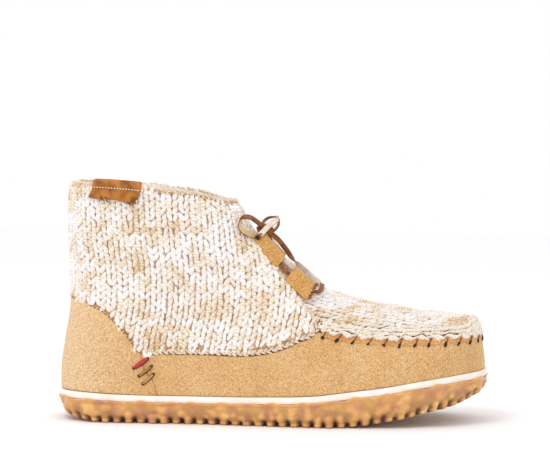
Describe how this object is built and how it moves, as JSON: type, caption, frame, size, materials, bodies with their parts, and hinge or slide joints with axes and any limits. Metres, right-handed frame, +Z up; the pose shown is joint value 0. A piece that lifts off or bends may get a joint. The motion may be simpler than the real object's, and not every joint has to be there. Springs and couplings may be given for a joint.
{
  "type": "slipper bootie",
  "caption": "Knitted ankle-high slipper bootie for a right foot, with a suede moccasin wall, a leather lace in suede tabs and a lugged gum rubber sole.",
  "frame": {"origin": "middle of the footprint's box, on the ground that the sole stands on", "axes": "+X from the heel to the toe, +Y to the inner (medial) side of the right foot, +Z up"},
  "size_m": [0.266, 0.099, 0.1488],
  "materials": {
    "knit": "marled rib knit in cream, oat and rust wool",
    "suede": "tan suede with a soft nap",
    "tab_suede": "suede, a little darker than the wall",
    "lace_leather": "smooth dark brown grain with a pale flesh side",
    "label_leather": "smooth brown leather, bare",
    "cream_foam": "matt cream foam rubber",
    "gum_rubber": "translucent-looking gum rubber with a moulded relief",
    "fleece": "cream pile"
  },
  "bodies": {
    "root": {"outsole": "gum_rubber", "midsole": "cream_foam", "insole": "fleece", "upper": "knit", "tongue": "knit", "side_wall": "suede", "heel_counter": "suede", "moc_seam": "suede", "upper_tab_lateral": "tab_suede", "upper_tab_medial": "tab_suede", "lower_tab_lateral": "tab_suede", "lower_tab_medial": "tab_suede", "collar_label": "label_leather", "lace_crossings": "lace_leather", "lace_knot": "lace_leather", "lace_loop_lateral": "lace_leather", "lace_loop_medial": "lace_leather", "lace_end_lateral": "lace_leather", "lace_end_medial": "lace_leather"}
  },
  "joints": []
}
